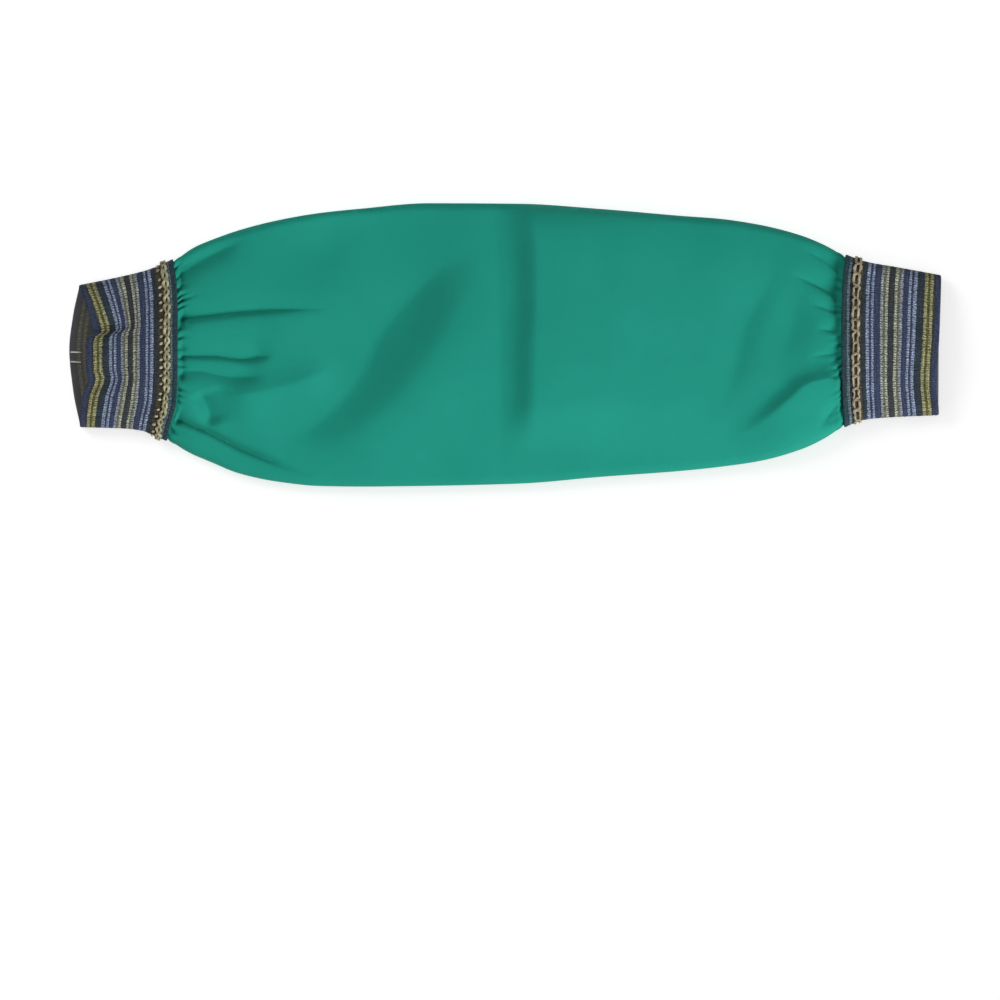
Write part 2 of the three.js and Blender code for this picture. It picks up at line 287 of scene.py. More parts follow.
def section_rings(sections, top_columns, under_columns):
    """The Y and Z of the columns round each section, their place across, and the way out there."""
    top = layer_points(sections, True, top_columns)
    under = layer_points(sections, False, under_columns)
    y, z = np.concatenate([top, under], axis=2)
    upper, lower = sections[:2, :, None]
    across = (2 * y - upper - lower) / (upper - lower)
    run_y = np.roll(y, -1, 1) - np.roll(y, 1, 1)
    run_z = np.roll(z, -1, 1) - np.roll(z, 1, 1)
    length = np.hypot(run_y, run_z)
    return y, z, across, run_z / length, -run_y / length


def seam_bow(end, along, across):
    """How far the bow of a seam moves what lies along from it: the elastic, or the cloth behind it."""
    reach = smooth_columns(end["bow"], across.ravel()).reshape(across.shape)
    share = np.where(along > 0, 1 - along / ELASTIC_WIDTH, smooth_step(1 + along / BOW_LENGTH))
    return end["to_mouth"] * reach * share[:, None]


def ring_mesh(name, rings, around, along):
    """A closed skin through rings of points, the last joined to the first, with UVs in millimetres."""
    ring_count, columns, _ = rings.shape
    ring, column = (index.ravel() for index in np.mgrid[0:ring_count, 0:columns])
    next_ring = (ring + 1) % ring_count
    next_column = (column + 1) % columns
    corners = ((ring, column), (ring, next_column), (next_ring, next_column), (next_ring, column))
    faces = np.stack([r * columns + c for r, c in corners], axis=1)
    mesh = bpy.data.meshes.new(name)
    mesh.from_pydata((rings.reshape(-1, 3) * MM).tolist(), [], faces.tolist())
    u = np.stack([around[column], around[column + 1], around[column + 1], around[column]], axis=1)
    v = np.stack([along[ring], along[ring], along[next_ring], along[next_ring]], axis=1)
    mesh.uv_layers.new(name="millimetres").data.foreach_set("uv", np.stack([u, v], axis=2).ravel())
    mesh.shade_smooth()
    piece = bpy.data.objects.new(name, mesh)
    bpy.context.scene.collection.objects.link(piece)
    return piece


def cloth_places():
    """Places along the free cloth, close together beside the seams and across the fold in the middle."""
    first, beside_seam, beside_fold, widest = 0.2, 0.45, 0.9, 2.2
    wider_from_seam, wider_from_fold = 0.04, 0.05
    places = [ARM_SEAM + first]
    while places[-1] < WRIST_SEAM - first:
        from_seam = min(places[-1] - ARM_SEAM, WRIST_SEAM - places[-1])
        from_fold = abs(places[-1] - HALF_FOLD_X)
        at_seam = beside_seam + wider_from_seam * from_seam
        at_fold = beside_fold + wider_from_fold * from_fold
        places.append(places[-1] + min(at_seam, at_fold, widest))
    return np.array(places[:-1])


def fold_depth(x, y, fold):
    """How far a fold pushes the cloth down at each place."""
    line, depth, left, right, sharpness, fade_in, fade_out = fold
    line = np.array(line, float)
    chord = line[-1] - line[0]
    length = np.hypot(*chord)
    way_x, way_y = chord / length

    def along_and_left(points_x, points_y):
        off_x = points_x - line[0, 0]
        off_y = points_y - line[0, 1]
        return off_x * way_x + off_y * way_y, off_y * way_x - off_x * way_y

    along, left_of_chord = along_and_left(x, y)
    line_left = smooth_columns(np.column_stack(along_and_left(*line.T)), along.ravel()).reshape(x.shape)
    off_line = left_of_chord - line_left
    width = np.where(off_line > 0, left, right)
    share = along / length
    fade = smooth_step(share / fade_in) * smooth_step((1 - share) / fade_out)
    return depth * fade * np.exp(-((np.abs(off_line) / width) ** sharpness))


def gather_depth(distance, turn, seed):
    """How far the gathers pull the cloth in, at a distance from the seam and a share of the way round."""
    rng = np.random.default_rng(seed)
    total = np.zeros(np.broadcast(distance, turn).shape)
    for count, depth, opening, fading in GATHERS:
        drift = sum(
            rng.uniform(0.1, 0.3) * np.sin(2 * np.pi * (wave * turn + rng.random()))
            for wave in (3, 5, 8)
        )
        swing = np.sin(2 * np.pi * (5 * turn + rng.random())) * np.sin(2 * np.pi * 9 * turn)
        uneven = 0.75 + 0.25 * swing
        valley = np.cos(np.pi * (count * turn + drift)) ** GATHER_SHARPNESS
        opened = 1 - np.exp(-distance / opening)
        faded = np.exp(-((distance / fading) ** GATHER_FADING))
        total += depth * uneven * valley * opened * faded
    return total


def body_sections(x):
    """The cloth's sections: inside the elastic up to the seams, then swelling out to the body's own."""
    sections = sections_on_floor(BODY_SECTIONS, x)
    for end in ENDS.values():
        along = (x - end["seam"]) * end["to_mouth"]
        tucked = inset(sections_on_floor(end["sections"], along), TUCK_UNDER_ELASTIC)
        share = np.exp(-(-along).clip(0) / SWELL)
        sections = sections * (1 - share) + tucked * share
    return sections


def body_skin(x, depth_in):
    """One skin of the cloth, a distance in from its outer face."""
    sections = inset(body_sections(x), depth_in)
    y, z, across, out_y, out_z = section_rings(sections, TOP_COLUMNS, UNDER_COLUMNS)
    columns = TOP_COLUMNS + UNDER_COLUMNS
    turn = np.arange(columns)[None, :] / columns
    x_grid = np.broadcast_to(x[:, None], y.shape).copy()
    free = np.ones_like(y)
    for end in ENDS.values():
        along = (x - end["seam"]) * end["to_mouth"]
        from_seam = (-along).clip(0)[:, None]
        pull = end["gather_share"] * gather_depth(from_seam, turn, end["seed"])
        y = y - out_y * pull
        z = z - out_z * pull
        x_grid += seam_bow(end, along, across)
        free *= smooth_step(from_seam / FOLDS_START)
    top = np.s_[:, :TOP_COLUMNS]
    free *= 1 - np.abs(across).clip(0, 1) ** SIDES_HOLD
    folds = sum(fold_depth(x_grid[top], y[top], fold) for fold in FOLDS.values())
    z[top] -= folds * free[top]
    return np.stack([x_grid, y, z], axis=2)


def lining_skin(x, outer, rows):
    """The reverse of the cloth at a few of its rows, under the deepest crease near each of them."""
    inner = body_skin(x[rows], CLOTH_THICKNESS)
    for skin, row in zip(inner, rows):
        beside = outer[max(row - LINING_STEP, 0):row + LINING_STEP + 1, :TOP_COLUMNS, 2]
        skin[:TOP_COLUMNS, 2] = np.minimum(skin[:TOP_COLUMNS, 2], beside.min(axis=0) - CLOTH_THICKNESS)
    return inner


def make_body():
    tucked = np.array([SEAM_ALLOWANCE, 6.0, 2.0, 0.6])
    x = np.concatenate([ARM_SEAM - tucked, cloth_places(), WRIST_SEAM + tucked[::-1]])
    outer = body_skin(x, 0)
    rows = np.append(np.arange(0, len(x) - 2, LINING_STEP), len(x) - 1)[::-1]
    rings = np.concatenate([outer, lining_skin(x, outer, rows)])
    columns = TOP_COLUMNS + UNDER_COLUMNS
    around = np.arange(columns + 1) / columns * CUT_WIDTH
    return ring_mesh("sleeve_cloth", rings, around, np.concatenate([x, x[rows]]))


def add_node(tree, kind, settings=None, **inputs):
    """A node with its settings, and its inputs set to values or linked to other nodes' sockets."""
    node = tree.nodes.new(kind)
    for key, value in (settings or {}).items():
        setattr(node, key, value)
    for key, value in inputs.items():
        socket = node.inputs[int(key[1:])] if key[0] == "i" and key[1:].isdigit() else node.inputs[key]
        if isinstance(value, bpy.types.NodeSocket):
            tree.links.new(value, socket)
        else:
            socket.default_value = value
    return node


def math_node(tree, operation, first, second=0.0, third=0.0):
    node = add_node(tree, "ShaderNodeMath", {"operation": operation}, i0=first, i1=second, i2=third)
    return node.outputs[0]


def new_group(name, inputs, outputs):
    """A node group with named sockets, and the nodes that stand for its two ends."""
    tree = bpy.data.node_groups.new(name, "ShaderNodeTree")
    for direction, sockets in (("INPUT", inputs), ("OUTPUT", outputs)):
        for socket, kind in sockets:
            tree.interface.new_socket(socket, in_out=direction, socket_type=kind)
    return tree, tree.nodes.new("NodeGroupInput"), tree.nodes.new("NodeGroupOutput")


def thread_weave_group():
    """A twill weave with slubs: the height of its threads, and a light or dark mark for each."""
    tree, given, result = new_group(
        "thread weave",
        (("Pitch", "NodeSocketFloat"), ("Slub", "NodeSocketFloat")),
        (("Height", "NodeSocketFloat"), ("Shade", "NodeSocketFloat")),
    )
    place = add_node(tree, "ShaderNodeUVMap", {"uv_map": "millimetres"}).outputs[0]
    split = add_node(tree, "ShaderNodeSeparateXYZ", Vector=place)
    across = math_node(tree, "DIVIDE", split.outputs[0], given.outputs["Pitch"])
    along = math_node(tree, "DIVIDE", split.outputs[1], given.outputs["Pitch"])
    diagonal = math_node(tree, "MULTIPLY_ADD", along, 0.5, across)
    ridge = math_node(tree, "SINE", math_node(tree, "MULTIPLY", diagonal, 2 * np.pi))
    thread = math_node(tree, "SINE", math_node(tree, "MULTIPLY", along, 2 * np.pi))
    tree.links.new(math_node(tree, "MULTIPLY_ADD", thread, 0.5, ridge), result.inputs["Height"])
    streaks = []
    for stretch in ((0.06, 1.6, 1.0), (1.6, 0.06, 1.0)):
        stretched = add_node(tree, "ShaderNodeVectorMath", {"operation": "MULTIPLY"},
                             i0=place, i1=stretch)
        noise = add_node(tree, "ShaderNodeTexNoise", Vector=stretched.outputs[0], Scale=1.0, Detail=2.0)
        streaks.append(noise.outputs[0])
    streak = math_node(tree, "SUBTRACT", math_node(tree, "ADD", *streaks), 1.0)
    tree.links.new(math_node(tree, "MULTIPLY", streak, given.outputs["Slub"]), result.inputs["Shade"])
    return tree


THREAD_WEAVE = thread_weave_group()


def new_material(name):
    material = bpy.data.materials.new(name)
    material.use_nodes = True
    return material, material.node_tree, material.node_tree.nodes["Principled BSDF"]


def cotton_material():
    material, tree, shader = new_material("green cotton")
    light_green = (0.008, 0.208, 0.153, 1)
    deep_green = (0.004, 0.172, 0.125, 1)
    shader.inputs["Roughness"].default_value = 0.85
    shader.inputs["Specular IOR Level"].default_value = 0.12
    shader.inputs["Sheen Weight"].default_value = 0.03
    shader.inputs["Sheen Roughness"].default_value = 0.5
    shader.inputs["Sheen Tint"].default_value = (0.4, 0.9, 0.8, 1)
    weave = add_node(tree, "ShaderNodeGroup", {"node_tree": THREAD_WEAVE}, Pitch=0.6, Slub=0.4)
    place = add_node(tree, "ShaderNodeTexCoord").outputs["Object"]
    mottle = add_node(tree, "ShaderNodeTexNoise", Vector=place, Scale=26.0, Detail=3.0).outputs[0]
    tone = math_node(tree, "ADD", mottle, weave.outputs["Shade"])
    colour = add_node(tree, "ShaderNodeMix", {"data_type": "RGBA"},
                      i0=tone, i6=deep_green, i7=light_green)
    tree.links.new(colour.outputs[2], shader.inputs["Base Color"])
    bump = add_node(tree, "ShaderNodeBump", Strength=0.15, Distance=0.0002,
                    Height=weave.outputs["Height"])
    tree.links.new(bump.outputs[0], shader.inputs["Normal"])
    return material


sleeve_cloth = make_body()
sleeve_cloth.data.materials.append(cotton_material())
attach(sleeve_cloth, "root")
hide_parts("sleeve_body")

# Elastic cuffs
# Two loops of 2 in woven elastic, striped so that the stripes run round the arm. Rubber cords lie inside,
# covered by coloured yarns, and one edge of each loop is sewn over the gathered cotton.
ELASTIC_THICKNESS = 1.6
CUFF_TOP_COLUMNS = 190
CUFF_UNDER_COLUMNS = 150
CUFF_ROWS = 128
CUFF_INNER_ROWS = 40
SEWN_BAND = SEAM_ALLOWANCE + 1
RIM_BAND_FROM = 46
FACE_INSET = 0.25
RIM_ROUNDING = 0.35

# Rims of the mouths, columns: -1 at the lower edge to 1 at the upper edge, how far the rim stands out,
# how far it sags
ENDS["upper_arm"]["top_rim"] = (
    (-1.0, -1.1, 0.0),
    (-0.6, -2.6, 0.5),
    (-0.32, -5.8, 3.0),
    (-0.22, -4.9, 1.4),
    (0.16, -4.7, 1.0),
    (0.25, -5.4, 1.6),
    (0.33, -8.6, 4.2),
    (0.62, -5.8, 1.8),
    (1.0, -0.6, 0.0),
)
ENDS["upper_arm"]["under_rim"] = (
    (-1.0, -1.1, 0.0),
    (-0.5, 2.6, 0.0),
    (0.1, UNDER_LAYER_REACH, 0.0),
    (0.6, 2.6, 0.0),
    (1.0, -0.6, 0.0),
)
ENDS["wrist"]["top_rim"] = (
    (-1.0, -1.2, 0.0),
    (-0.5, -2.6, 1.2),
    (0.1, -1.4, 0.4),
    (1.0, 0.0, 0.0),
)
ENDS["wrist"]["under_rim"] = (
    (-1.0, -1.2, 0.0),
    (0.0, -1.0, 0.0),
    (1.0, 0.0, 0.0),
)
ENDS["upper_arm"]["loop"] = 190
ENDS["wrist"]["loop"] = 180

NAVY = (0.030, 0.040, 0.078)
DARK_NAVY = (0.020, 0.030, 0.040)
# Navy of the selvedge, darker and tinted teal as painted shade where the gathers meet the elastic
SELVEDGE_TEAL_AND_SHADE = (0.016, 0.040, 0.050)
CHARCOAL = (0.028, 0.031, 0.036)
STEEL_BLUE = (0.210, 0.260, 0.365)
GREY_BLUE = (0.095, 0.135, 0.155)
LIGHT_GREY = (0.250, 0.275, 0.280)
LILAC_GREY = (0.235, 0.260, 0.305)
CREAM = (0.305, 0.325, 0.245)
OLIVE = (0.105, 0.115, 0.085)
GOLD = (0.265, 0.260, 0.130)
BROWN = (0.060, 0.048, 0.030)
MUSTARD = (0.080, 0.080, 0.030)

# Stripes of the webbing, columns: where each one ends, from the sewn edge, its colour, how dotted it is.
# The first, the navy selvedge at the seam, is also darkened and tinted teal as painted shade from the
# gathered cloth
STRIPES = (
    (2.2, SELVEDGE_TEAL_AND_SHADE, 0.3),
    (3.6, GREY_BLUE, 0.55),
    (5.0, DARK_NAVY, 0.3),
    (9.6, BROWN, 0.45),
    (12.1, DARK_NAVY, 0.3),
    (13.6, STEEL_BLUE, 0.7),
    (14.7, NAVY, 0.3),
    (15.9, STEEL_BLUE, 0.7),
    (19.6, NAVY, 0.3),
    (21.0, LIGHT_GREY, 0.7),
    (22.2, OLIVE, 0.45),
    (23.5, CREAM, 0.7),
    (26.8, CHARCOAL, 0.3),
    (28.4, CREAM, 0.7),
    (29.9, OLIVE, 0.45),
    (31.3, LILAC_GREY, 0.7),
    (34.2, NAVY, 0.3),
    (35.7, STEEL_BLUE, 0.7),
    (36.9, NAVY, 0.3),
    (38.5, STEEL_BLUE, 0.7),
    (42.6, DARK_NAVY, 0.3),
    (44.2, GOLD, 0.65),
    (45.6, MUSTARD, 0.45),
    (47.2, GOLD, 0.65),
    (48.4, CHARCOAL, 0.3),
    (ELASTIC_WIDTH, NAVY, 0.3),
)
PICK_PITCH = 1.5
PICK_SWAY = 14.0
RIB_HEIGHT = 0.10


def cuff_skin(end, along, depth_in):
    """One skin of a cuff at distances from its seam, a distance in from its face, and the way out."""
    sections = inset(sections_on_floor(end["sections"], along), depth_in)
    y, z, across, out_y, out_z = section_rings(sections, CUFF_TOP_COLUMNS, CUFF_UNDER_COLUMNS)
    top_reach, top_dip = smooth_columns(end["top_rim"], across.ravel()).reshape(2, *y.shape)
    under_reach, under_dip = smooth_columns(end["under_rim"], across.ravel()).reshape(2, *y.shape)
    is_top = np.arange(y.shape[1])[None, :] < CUFF_TOP_COLUMNS
    bend = smooth_step((along - SEWN_BAND) / (RIM_BAND_FROM - SEWN_BAND))[:, None]
    reach = np.where(is_top, top_reach, under_reach) * bend
    dip = np.where(is_top, top_dip, under_dip) * bend
    x = end["seam"] + end["to_mouth"] * (along[:, None] + reach) + seam_bow(end, along, across)
    return np.stack([x, y, z - dip], axis=2), np.stack([np.zeros_like(y), out_y, out_z], axis=2)


def rib_height(along, columns, loop):
    """Relief of the webbing: a round rib for each stripe, and the picks that cross it."""
    ends = np.array([stripe[0] for stripe in STRIPES])
    starts = np.concatenate([[0], ends[:-1]])
    dots = np.array([stripe[2] for stripe in STRIPES])
    which = np.searchsorted(ends, along.clip(0, ELASTIC_WIDTH - 0.01), side="right")
    share = (along - starts[which]) / (ends - starts)[which]
    rib = np.sin(np.pi * share.clip(0, 1))[:, None]
    turn = np.arange(columns)[None, :] / columns
    pick = np.sin(2 * np.pi * np.round(loop / PICK_PITCH) * turn + np.pi * which[:, None])
    return RIB_HEIGHT * rib * (1 + dots[which][:, None] * (1 + pick))


def make_cuff(name, end):
    columns = CUFF_TOP_COLUMNS + CUFF_UNDER_COLUMNS
    along = np.linspace(0, ELASTIC_WIDTH, CUFF_ROWS)
    outer, way_out = cuff_skin(end, along, FACE_INSET)
    outer += way_out * rib_height(along, columns, end["loop"])[:, :, None]
    inner_along = np.linspace(ELASTIC_WIDTH, 0, CUFF_INNER_ROWS)
    inner, _ = cuff_skin(end, inner_along, ELASTIC_THICKNESS)
    middle, _ = cuff_skin(end, np.array([ELASTIC_WIDTH, 0.0]), ELASTIC_THICKNESS / 2)
    middle[0, :, 0] += RIM_ROUNDING * end["to_mouth"]
    middle[1, :, 0] -= RIM_ROUNDING * end["to_mouth"]
    rings = np.concatenate([outer, middle[:1], inner, middle[1:]])
    places = np.concatenate([along, [ELASTIC_WIDTH], inner_along, [0.0]])
    is_inner = np.repeat([0, 1, 0], [CUFF_ROWS, CUFF_INNER_ROWS, 2])
    if end["to_mouth"] < 0:
        rings = rings[::-1]
        places = places[::-1]
        is_inner = np.roll(is_inner[::-1], -1)
    end["face"] = outer
    end["way_out"] = way_out
    piece = ring_mesh(name, rings, np.arange(columns + 1) / columns * end["loop"], places)
    piece.data.polygons.foreach_set("material_index", np.repeat(is_inner, columns))
    return piece


def stripe_ramp(tree, place, values):
    """A colour ramp with one flat stop for each stripe."""
    ramp = add_node(tree, "ShaderNodeValToRGB", Fac=place)
    ramp.color_ramp.interpolation = "CONSTANT"
    starts = [0.0] + [stripe[0] / ELASTIC_WIDTH for stripe in STRIPES[:-1]]
    for i, (start, value) in enumerate(zip(starts, values)):
        stop = ramp.color_ramp.elements[0] if i == 0 else ramp.color_ramp.elements.new(start)
        stop.position = start
        stop.color = (*value, 1)
    if len(ramp.color_ramp.elements) > len(STRIPES):
        ramp.color_ramp.elements.remove(ramp.color_ramp.elements[-1])
    return ramp.outputs[0]


def elastic_material(name, backing_and_shade_share):
    """Stripes of dotted yarn, a little wavy and uneven, mixed by a given share with the grey of the back
    yarn, which on the reverse also stands for painted shade.
    """
    backing_grey_and_shade = (0.105, 0.105, 0.100, 1)
    material, tree, shader = new_material(name)
    shader.inputs["Roughness"].default_value = 0.9
    shader.inputs["Specular IOR Level"].default_value = 0.2
    weave = add_node(tree, "ShaderNodeGroup", {"node_tree": THREAD_WEAVE}, Pitch=0.6, Slub=1.6)
    place = add_node(tree, "ShaderNodeUVMap", {"uv_map": "millimetres"}).outputs[0]
    split = add_node(tree, "ShaderNodeSeparateXYZ", Vector=place)
    sway = add_node(tree, "ShaderNodeTexNoise", Vector=place, Scale=0.45, Detail=2.0).outputs[0]
    aside = math_node(tree, "SUBTRACT", sway, 0.5)
    swayed = math_node(tree, "MULTIPLY_ADD", aside, 1.0, split.outputs[1])
    along = math_node(tree, "DIVIDE", swayed, ELASTIC_WIDTH)
    colour = stripe_ramp(tree, along, [stripe[1] for stripe in STRIPES])
    dotted = stripe_ramp(tree, along, [(stripe[2],) * 3 for stripe in STRIPES])
    turns = math_node(tree, "MULTIPLY", split.outputs[0], 2 * np.pi / PICK_PITCH)
    shift = math_node(tree, "MULTIPLY", sway, PICK_SWAY)
    pick = math_node(tree, "SINE", math_node(tree, "ADD", turns, shift))
    gap = add_node(tree, "ShaderNodeMapRange", Value=pick, i1=-0.6, i2=0.4, i3=1.0, i4=0.0).outputs[0]
    covered = math_node(tree, "SUBTRACT", 1.0, math_node(tree, "MULTIPLY", gap, dotted))
    speckle = add_node(tree, "ShaderNodeTexNoise", Vector=place, Scale=1.1, Detail=1.0).outputs[0]
    patches = add_node(tree, "ShaderNodeMapRange", Value=speckle, i1=0.3, i2=0.7, i3=0.6, i4=1.4)
    shade = math_node(tree, "ADD", weave.outputs["Shade"], 1.0)
    uneven = math_node(tree, "MULTIPLY", shade, patches.outputs[0])
    toned = add_node(tree, "ShaderNodeVectorMath", {"operation": "SCALE"}, i0=colour,
                     Scale=math_node(tree, "MULTIPLY", covered, uneven))
    backed_and_shaded = add_node(tree, "ShaderNodeMix", {"data_type": "RGBA"}, i0=backing_and_shade_share,
                      i6=toned.outputs[0], i7=backing_grey_and_shade)
    tree.links.new(backed_and_shaded.outputs[2], shader.inputs["Base Color"])
    bump = add_node(tree, "ShaderNodeBump", Strength=0.5, Distance=0.0002, Height=weave.outputs["Height"])
    tree.links.new(bump.outputs[0], shader.inputs["Normal"])
    return material


ELASTIC_FACE = elastic_material("striped elastic", 0.0)
# The inside of each loop: the grey back yarn of the webbing, mixed in strongly, also as painted shade for
# the dark inside of the cuffs
ELASTIC_REVERSE_AND_SHADE = elastic_material("striped elastic reverse and painted shade", 0.7)
for end_name, end in ENDS.items():
    elastic = make_cuff(end_name + "_elastic", end)
    elastic.data.materials.append(ELASTIC_FACE)
    elastic.data.materials.append(ELASTIC_REVERSE_AND_SHADE)
    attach(elastic, "root")
    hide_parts(end_name + "_cuff")

# Seam stitching
# Each cuff is sewn down by two threads that cross over and under each other as in a chain stitch. At the
# upper arm a cream looper thread shows as a row of nubs on the side away from the cloth.
ENDS["upper_arm"]["braid"] = {"centre": 5.2, "reach": 1.05, "pitch": 9.2, "radius": 0.72, "dwell": 0.8}
ENDS["wrist"]["braid"] = {"centre": 6.8, "reach": 1.3, "pitch": 13.0, "radius": 0.66, "dwell": 5.0}
NUBS = {"from": 7.3, "to": 9.1, "pitch": 4.6, "radius": 0.75}
BRAID_STRANDS = 2
BRAID_STEPS = 26
BRAID_WAVER = 0.16
NUB_STEPS = 9
TACKS_Y = (-3.7, -8.8)
TACK_LENGTH = 6.0
TACK_RADIUS = 0.45
TACK_LIFT = 0.35
TACK_DIP = 0.9
THREAD_SIDES = 6
PRESSED_TO = 0.05


def on_cuff(end, along, turn, lift):
    """Points lifted off a cuff's outer face: distance from the seam, share of the way round, height."""
    rows, columns, _ = end["face"].shape
    row = along / ELASTIC_WIDTH * (rows - 1)
    column = (turn % 1) * columns
    r0 = np.clip(row.astype(int), 0, rows - 2)
    c0 = column.astype(int) % columns
    c1 = (c0 + 1) % columns
    r = (row - r0)[:, None]
    c = (column - np.floor(column))[:, None]
    corner = [end["face"][i, j] + end["way_out"][i, j] * lift[:, None]
              for i, j in ((r0, c0), (r0, c1), (r0 + 1, c0), (r0 + 1, c1))]
    return (corner[0] * (1 - c) + corner[1] * c) * (1 - r) + (corner[2] * (1 - c) + corner[3] * c) * r


def thread_skin(path, radius, closed):
    """Rings of points round a path, pressed flat at the floor, and the faces between them."""
    run = np.roll(path, -1, 0) - np.roll(path, 1, 0)
    if not closed:
        run[0] = path[1] - path[0]
        run[-1] = path[-1] - path[-2]
    run /= np.linalg.norm(run, axis=1)[:, None]
    side = np.cross(run, np.where(np.abs(run[:, 2:]) < 0.9, (0, 0, 1), (1, 0, 0)))
    side /= np.linalg.norm(side, axis=1)[:, None]
    up = np.cross(side, run)
    angle = np.arange(THREAD_SIDES) / THREAD_SIDES * 2 * np.pi
    ring = np.cos(angle)[None, :, None] * side[:, None] + np.sin(angle)[None, :, None] * up[:, None]
    points = (path[:, None] + ring * np.asarray(radius).reshape(-1, 1, 1)).reshape(-1, 3)
    points[:, 2] = points[:, 2].clip(PRESSED_TO)
    count = len(path)
    i, k = (index.ravel() for index in np.mgrid[0:count if closed else count - 1, 0:THREAD_SIDES])
    after = (i + 1) % count
    beside = (k + 1) % THREAD_SIDES
    corners = ((i, k), (after, k), (after, beside), (i, beside))
    faces = np.stack([ring_at * THREAD_SIDES + place for ring_at, place in corners], axis=1).tolist()
    if not closed:
        faces.append(list(range(THREAD_SIDES)))
        faces.append(list(range((count - 1) * THREAD_SIDES, count * THREAD_SIDES))[::-1])
    return points, faces


def thread_piece(name, skins, material):
    """Many threads joined into one piece, riding on the sleeve."""
    points = []
    faces = []
    for skin_points, skin_faces in skins:
        start = len(points)
        points.extend((skin_points * MM).tolist())
        faces.extend([[start + corner for corner in face] for face in skin_faces])
    mesh = bpy.data.meshes.new(name)
    mesh.from_pydata(points, [], faces)
    mesh.shade_smooth()
    mesh.materials.append(material)
    piece = bpy.data.objects.new(name, mesh)
    bpy.context.scene.collection.objects.link(piece)
    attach(piece, "root")
    return piece


def thread_material(name, light, dark):
    material, tree, shader = new_material(name)
    shader.inputs["Roughness"].default_value = 0.6
    place = add_node(tree, "ShaderNodeTexCoord").outputs["Object"]
    patches = add_node(tree, "ShaderNodeTexNoise", Vector=place, Scale=420.0, Detail=2.0).outputs[0]
    spread = add_node(tree, "ShaderNodeMapRange", Value=patches, i1=0.3, i2=0.7).outputs[0]
    colour = add_node(tree, "ShaderNodeMix", {"data_type": "RGBA"}, i0=spread, i6=dark, i7=light)
    tree.links.new(colour.outputs[2], shader.inputs["Base Color"])
    strands = add_node(tree, "ShaderNodeTexWave", Vector=place, Scale=900.0, Distortion=1.0)
    bump = add_node(tree, "ShaderNodeBump", Strength=0.4, Distance=0.0002, Height=strands.outputs["Fac"])
    tree.links.new(bump.outputs[0], shader.inputs["Normal"])
    return material


GOLD_THREAD = thread_material("gold thread", (0.37, 0.35, 0.21, 1), (0.10, 0.09, 0.04, 1))
BEIGE_THREAD = thread_material("beige thread", (0.33, 0.29, 0.20, 1), (0.13, 0.10, 0.06, 1))
CREAM_THREAD = thread_material("cream thread", (0.46, 0.44, 0.34, 1), (0.22, 0.20, 0.13, 1))
WHITE_THREAD = thread_material("white thread", (0.80, 0.80, 0.74, 1), (0.50, 0.50, 0.45, 1))


def braid_skins(end, seed):
    """Threads that swing from side to side, each over and under the others in turn, a little uneven."""
    braid = end["braid"]
    loops = round(end["loop"] / braid["pitch"])
    turn = np.arange(loops * BRAID_STEPS) / (loops * BRAID_STEPS)
    rng = np.random.default_rng(seed)
    skins = []
    for strand in range(BRAID_STRANDS):
        waver = sum(
            BRAID_WAVER * np.sin(2 * np.pi * (wave * turn + rng.random()))
            for wave in (7, 13, 29, 47)
        )
        swing = 2 * np.pi * (loops * turn + strand / BRAID_STRANDS) + waver
        to_side = np.tanh(braid["dwell"] * np.sin(swing)) / np.tanh(braid["dwell"])
        along = braid["centre"] + braid["reach"] * to_side * (1 + 0.6 * waver)
        lift = braid["radius"] * (0.7 + 0.6 * np.sin(2 * swing))
        radius = braid["radius"] * (1 + 0.8 * waver)
        skins.append(thread_skin(on_cuff(end, along, turn, lift), radius, True))
    return skins


def nub_skins(end, seed):
    """Short loops of the looper thread, one for each stitch."""
    count = round(end["loop"] / NUBS["pitch"])
    share = np.linspace(0, 1, NUB_STEPS)
    thickness = NUBS["radius"] * (0.2 + 0.8 * np.sin(np.pi * share) ** 0.5)
    rng = np.random.default_rng(seed)
    skins = []
    for nub in range(count):
        turn = (nub + rng.uniform(0.35, 0.65) + 0.2 * share) / count
        along = NUBS["from"] + (NUBS["to"] - NUBS["from"]) * share * rng.uniform(0.75, 1.0)
        radius = thickness * rng.uniform(0.8, 1.0)
        skins.append(thread_skin(on_cuff(end, along, turn, 0.4 * radius), radius, False))
    return skins


def tack_skins(end):
    """Bar tacks that close the loop: two short threads from the rim inwards, inside the lower layer."""
    rim = end["seam"] + end["to_mouth"] * (ELASTIC_WIDTH + UNDER_LAYER_REACH)
    share = np.linspace(0, 1, NUB_STEPS)
    skins = []
    for y in TACKS_Y:
        x = rim - end["to_mouth"] * TACK_LENGTH * share
        z = ELASTIC_THICKNESS + TACK_LIFT - TACK_DIP * (1 - share) ** 6
        path = np.stack([x, y - 0.3 * share, z], axis=1)
        radius = TACK_RADIUS * np.sin(np.pi * (0.08 + 0.84 * share)) ** 0.4
        skins.append(thread_skin(path, radius, False))
    return skins


upper_arm, wrist = ENDS.values()
thread_piece("upper_arm_braid", braid_skins(upper_arm, upper_arm["seed"]), GOLD_THREAD)
thread_piece("upper_arm_nubs", nub_skins(upper_arm, upper_arm["seed"]), CREAM_THREAD)
thread_piece("upper_arm_tacks", tack_skins(upper_arm), WHITE_THREAD)
thread_piece("wrist_braid", braid_skins(wrist, wrist["seed"]), BEIGE_THREAD)

# Floor, light and camera
# A pale floor that is lit through from below, as on a light table, a soft main light from the front right
# that is kept off the floor, a weak one from behind the left, and a camera straight above.
PICTURE_SPAN = 525.3
PICTURE_MIDDLE = (-2.6, -81.4)
CAMERA_HEIGHT = 5000
SENSOR = 36
FLOOR_HALF = 3.0
FLOOR_GLOW = 0.64
AMBIENT = 0.37
KEY = {"place": (1.93, -1.62, 1.63), "size": 1.3, "power": 130}
FILL = {"place": (-1.47, 1.23, 1.61), "size": 1.2, "power": 14}


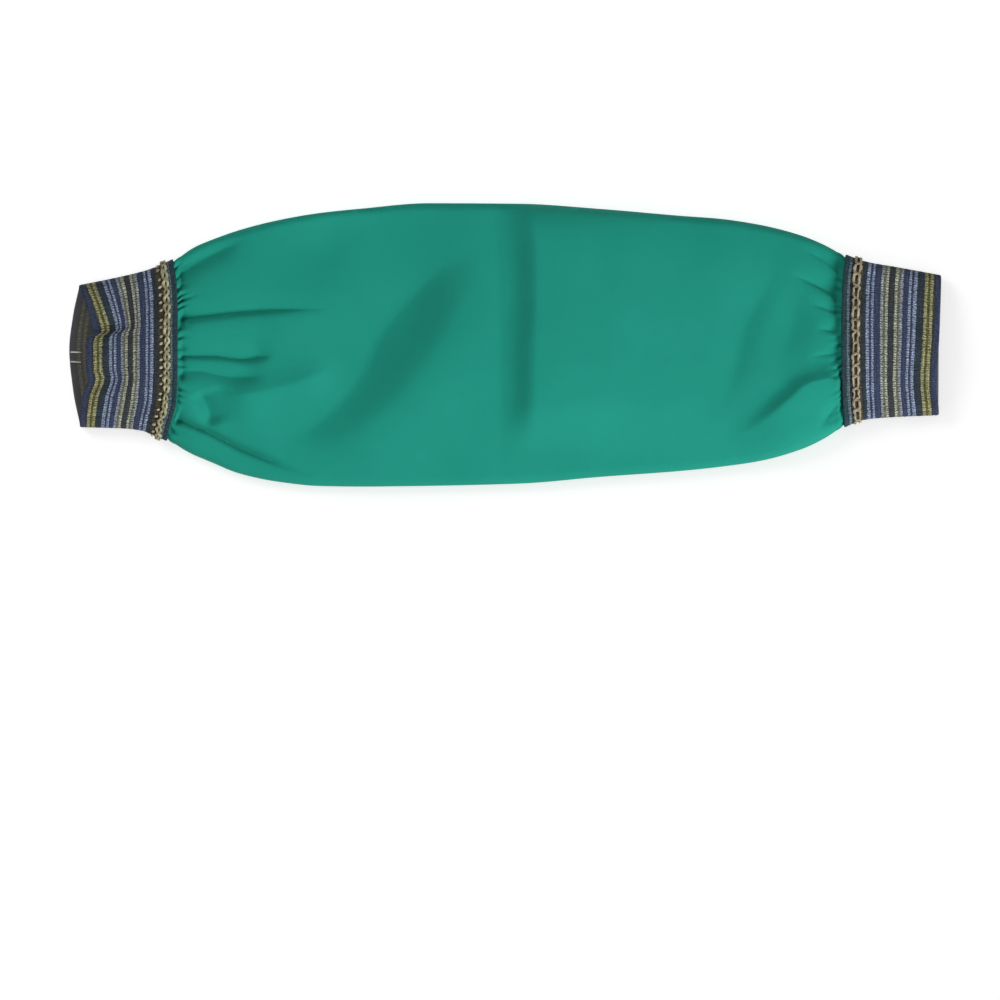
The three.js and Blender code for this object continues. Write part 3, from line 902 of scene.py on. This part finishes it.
def make_floor():
    corners = [(-FLOOR_HALF, -FLOOR_HALF, 0), (FLOOR_HALF, -FLOOR_HALF, 0),
               (FLOOR_HALF, FLOOR_HALF, 0), (-FLOOR_HALF, FLOOR_HALF, 0)]
    mesh = bpy.data.meshes.new("floor")
    mesh.from_pydata(corners, [], [(0, 1, 2, 3)])
    floor = bpy.data.objects.new("floor", mesh)
    bpy.context.scene.collection.objects.link(floor)
    material, _, shader = new_material("pale floor")
    shader.inputs["Base Color"].default_value = (0.8, 0.8, 0.8, 1)
    shader.inputs["Roughness"].default_value = 0.9
    shader.inputs["Emission Color"].default_value = (1, 1, 1, 1)
    shader.inputs["Emission Strength"].default_value = FLOOR_GLOW
    mesh.materials.append(material)


def add_light(name, place, size, power):
    """A round soft light that faces the middle of the sleeve."""
    data = bpy.data.lights.new(name, "AREA")
    data.shape = "DISK"
    data.size = size
    data.energy = power
    light = bpy.data.objects.new(name, data)
    bpy.context.scene.collection.objects.link(light)
    light.location = place
    light.rotation_euler = (-Vector(place)).to_track_quat("-Z", "Y").to_euler()
    light.visible_camera = False
    return light


def light_only(light, pieces):
    """Keeps a light to some pieces, so that it throws no shadow on the rest."""
    lit = bpy.data.collections.new("lit by " + light.name)
    for piece in pieces:
        lit.objects.link(piece)
    light.light_linking.receiver_collection = lit


def make_camera():
    data = bpy.data.cameras.new("camera")
    data.sensor_width = SENSOR
    data.lens = SENSOR * CAMERA_HEIGHT / PICTURE_SPAN
    camera = bpy.data.objects.new("camera", data)
    bpy.context.scene.collection.objects.link(camera)
    camera.location = (PICTURE_MIDDLE[0] * MM, PICTURE_MIDDLE[1] * MM, CAMERA_HEIGHT * MM)
    bpy.context.scene.camera = camera


sleeve_pieces = [piece for piece in bpy.context.scene.objects if piece.type == "MESH"]
make_floor()
make_camera()
light_only(add_light("key", **KEY), sleeve_pieces)
add_light("fill", **FILL)
world = bpy.data.worlds.new("studio")
world.use_nodes = True
world.node_tree.nodes["Background"].inputs["Color"].default_value = (1, 1, 1, 1)
world.node_tree.nodes["Background"].inputs["Strength"].default_value = AMBIENT
bpy.context.scene.world = world
bpy.context.scene.view_settings.view_transform = "Standard"
bpy.context.scene.view_settings.look = "None"
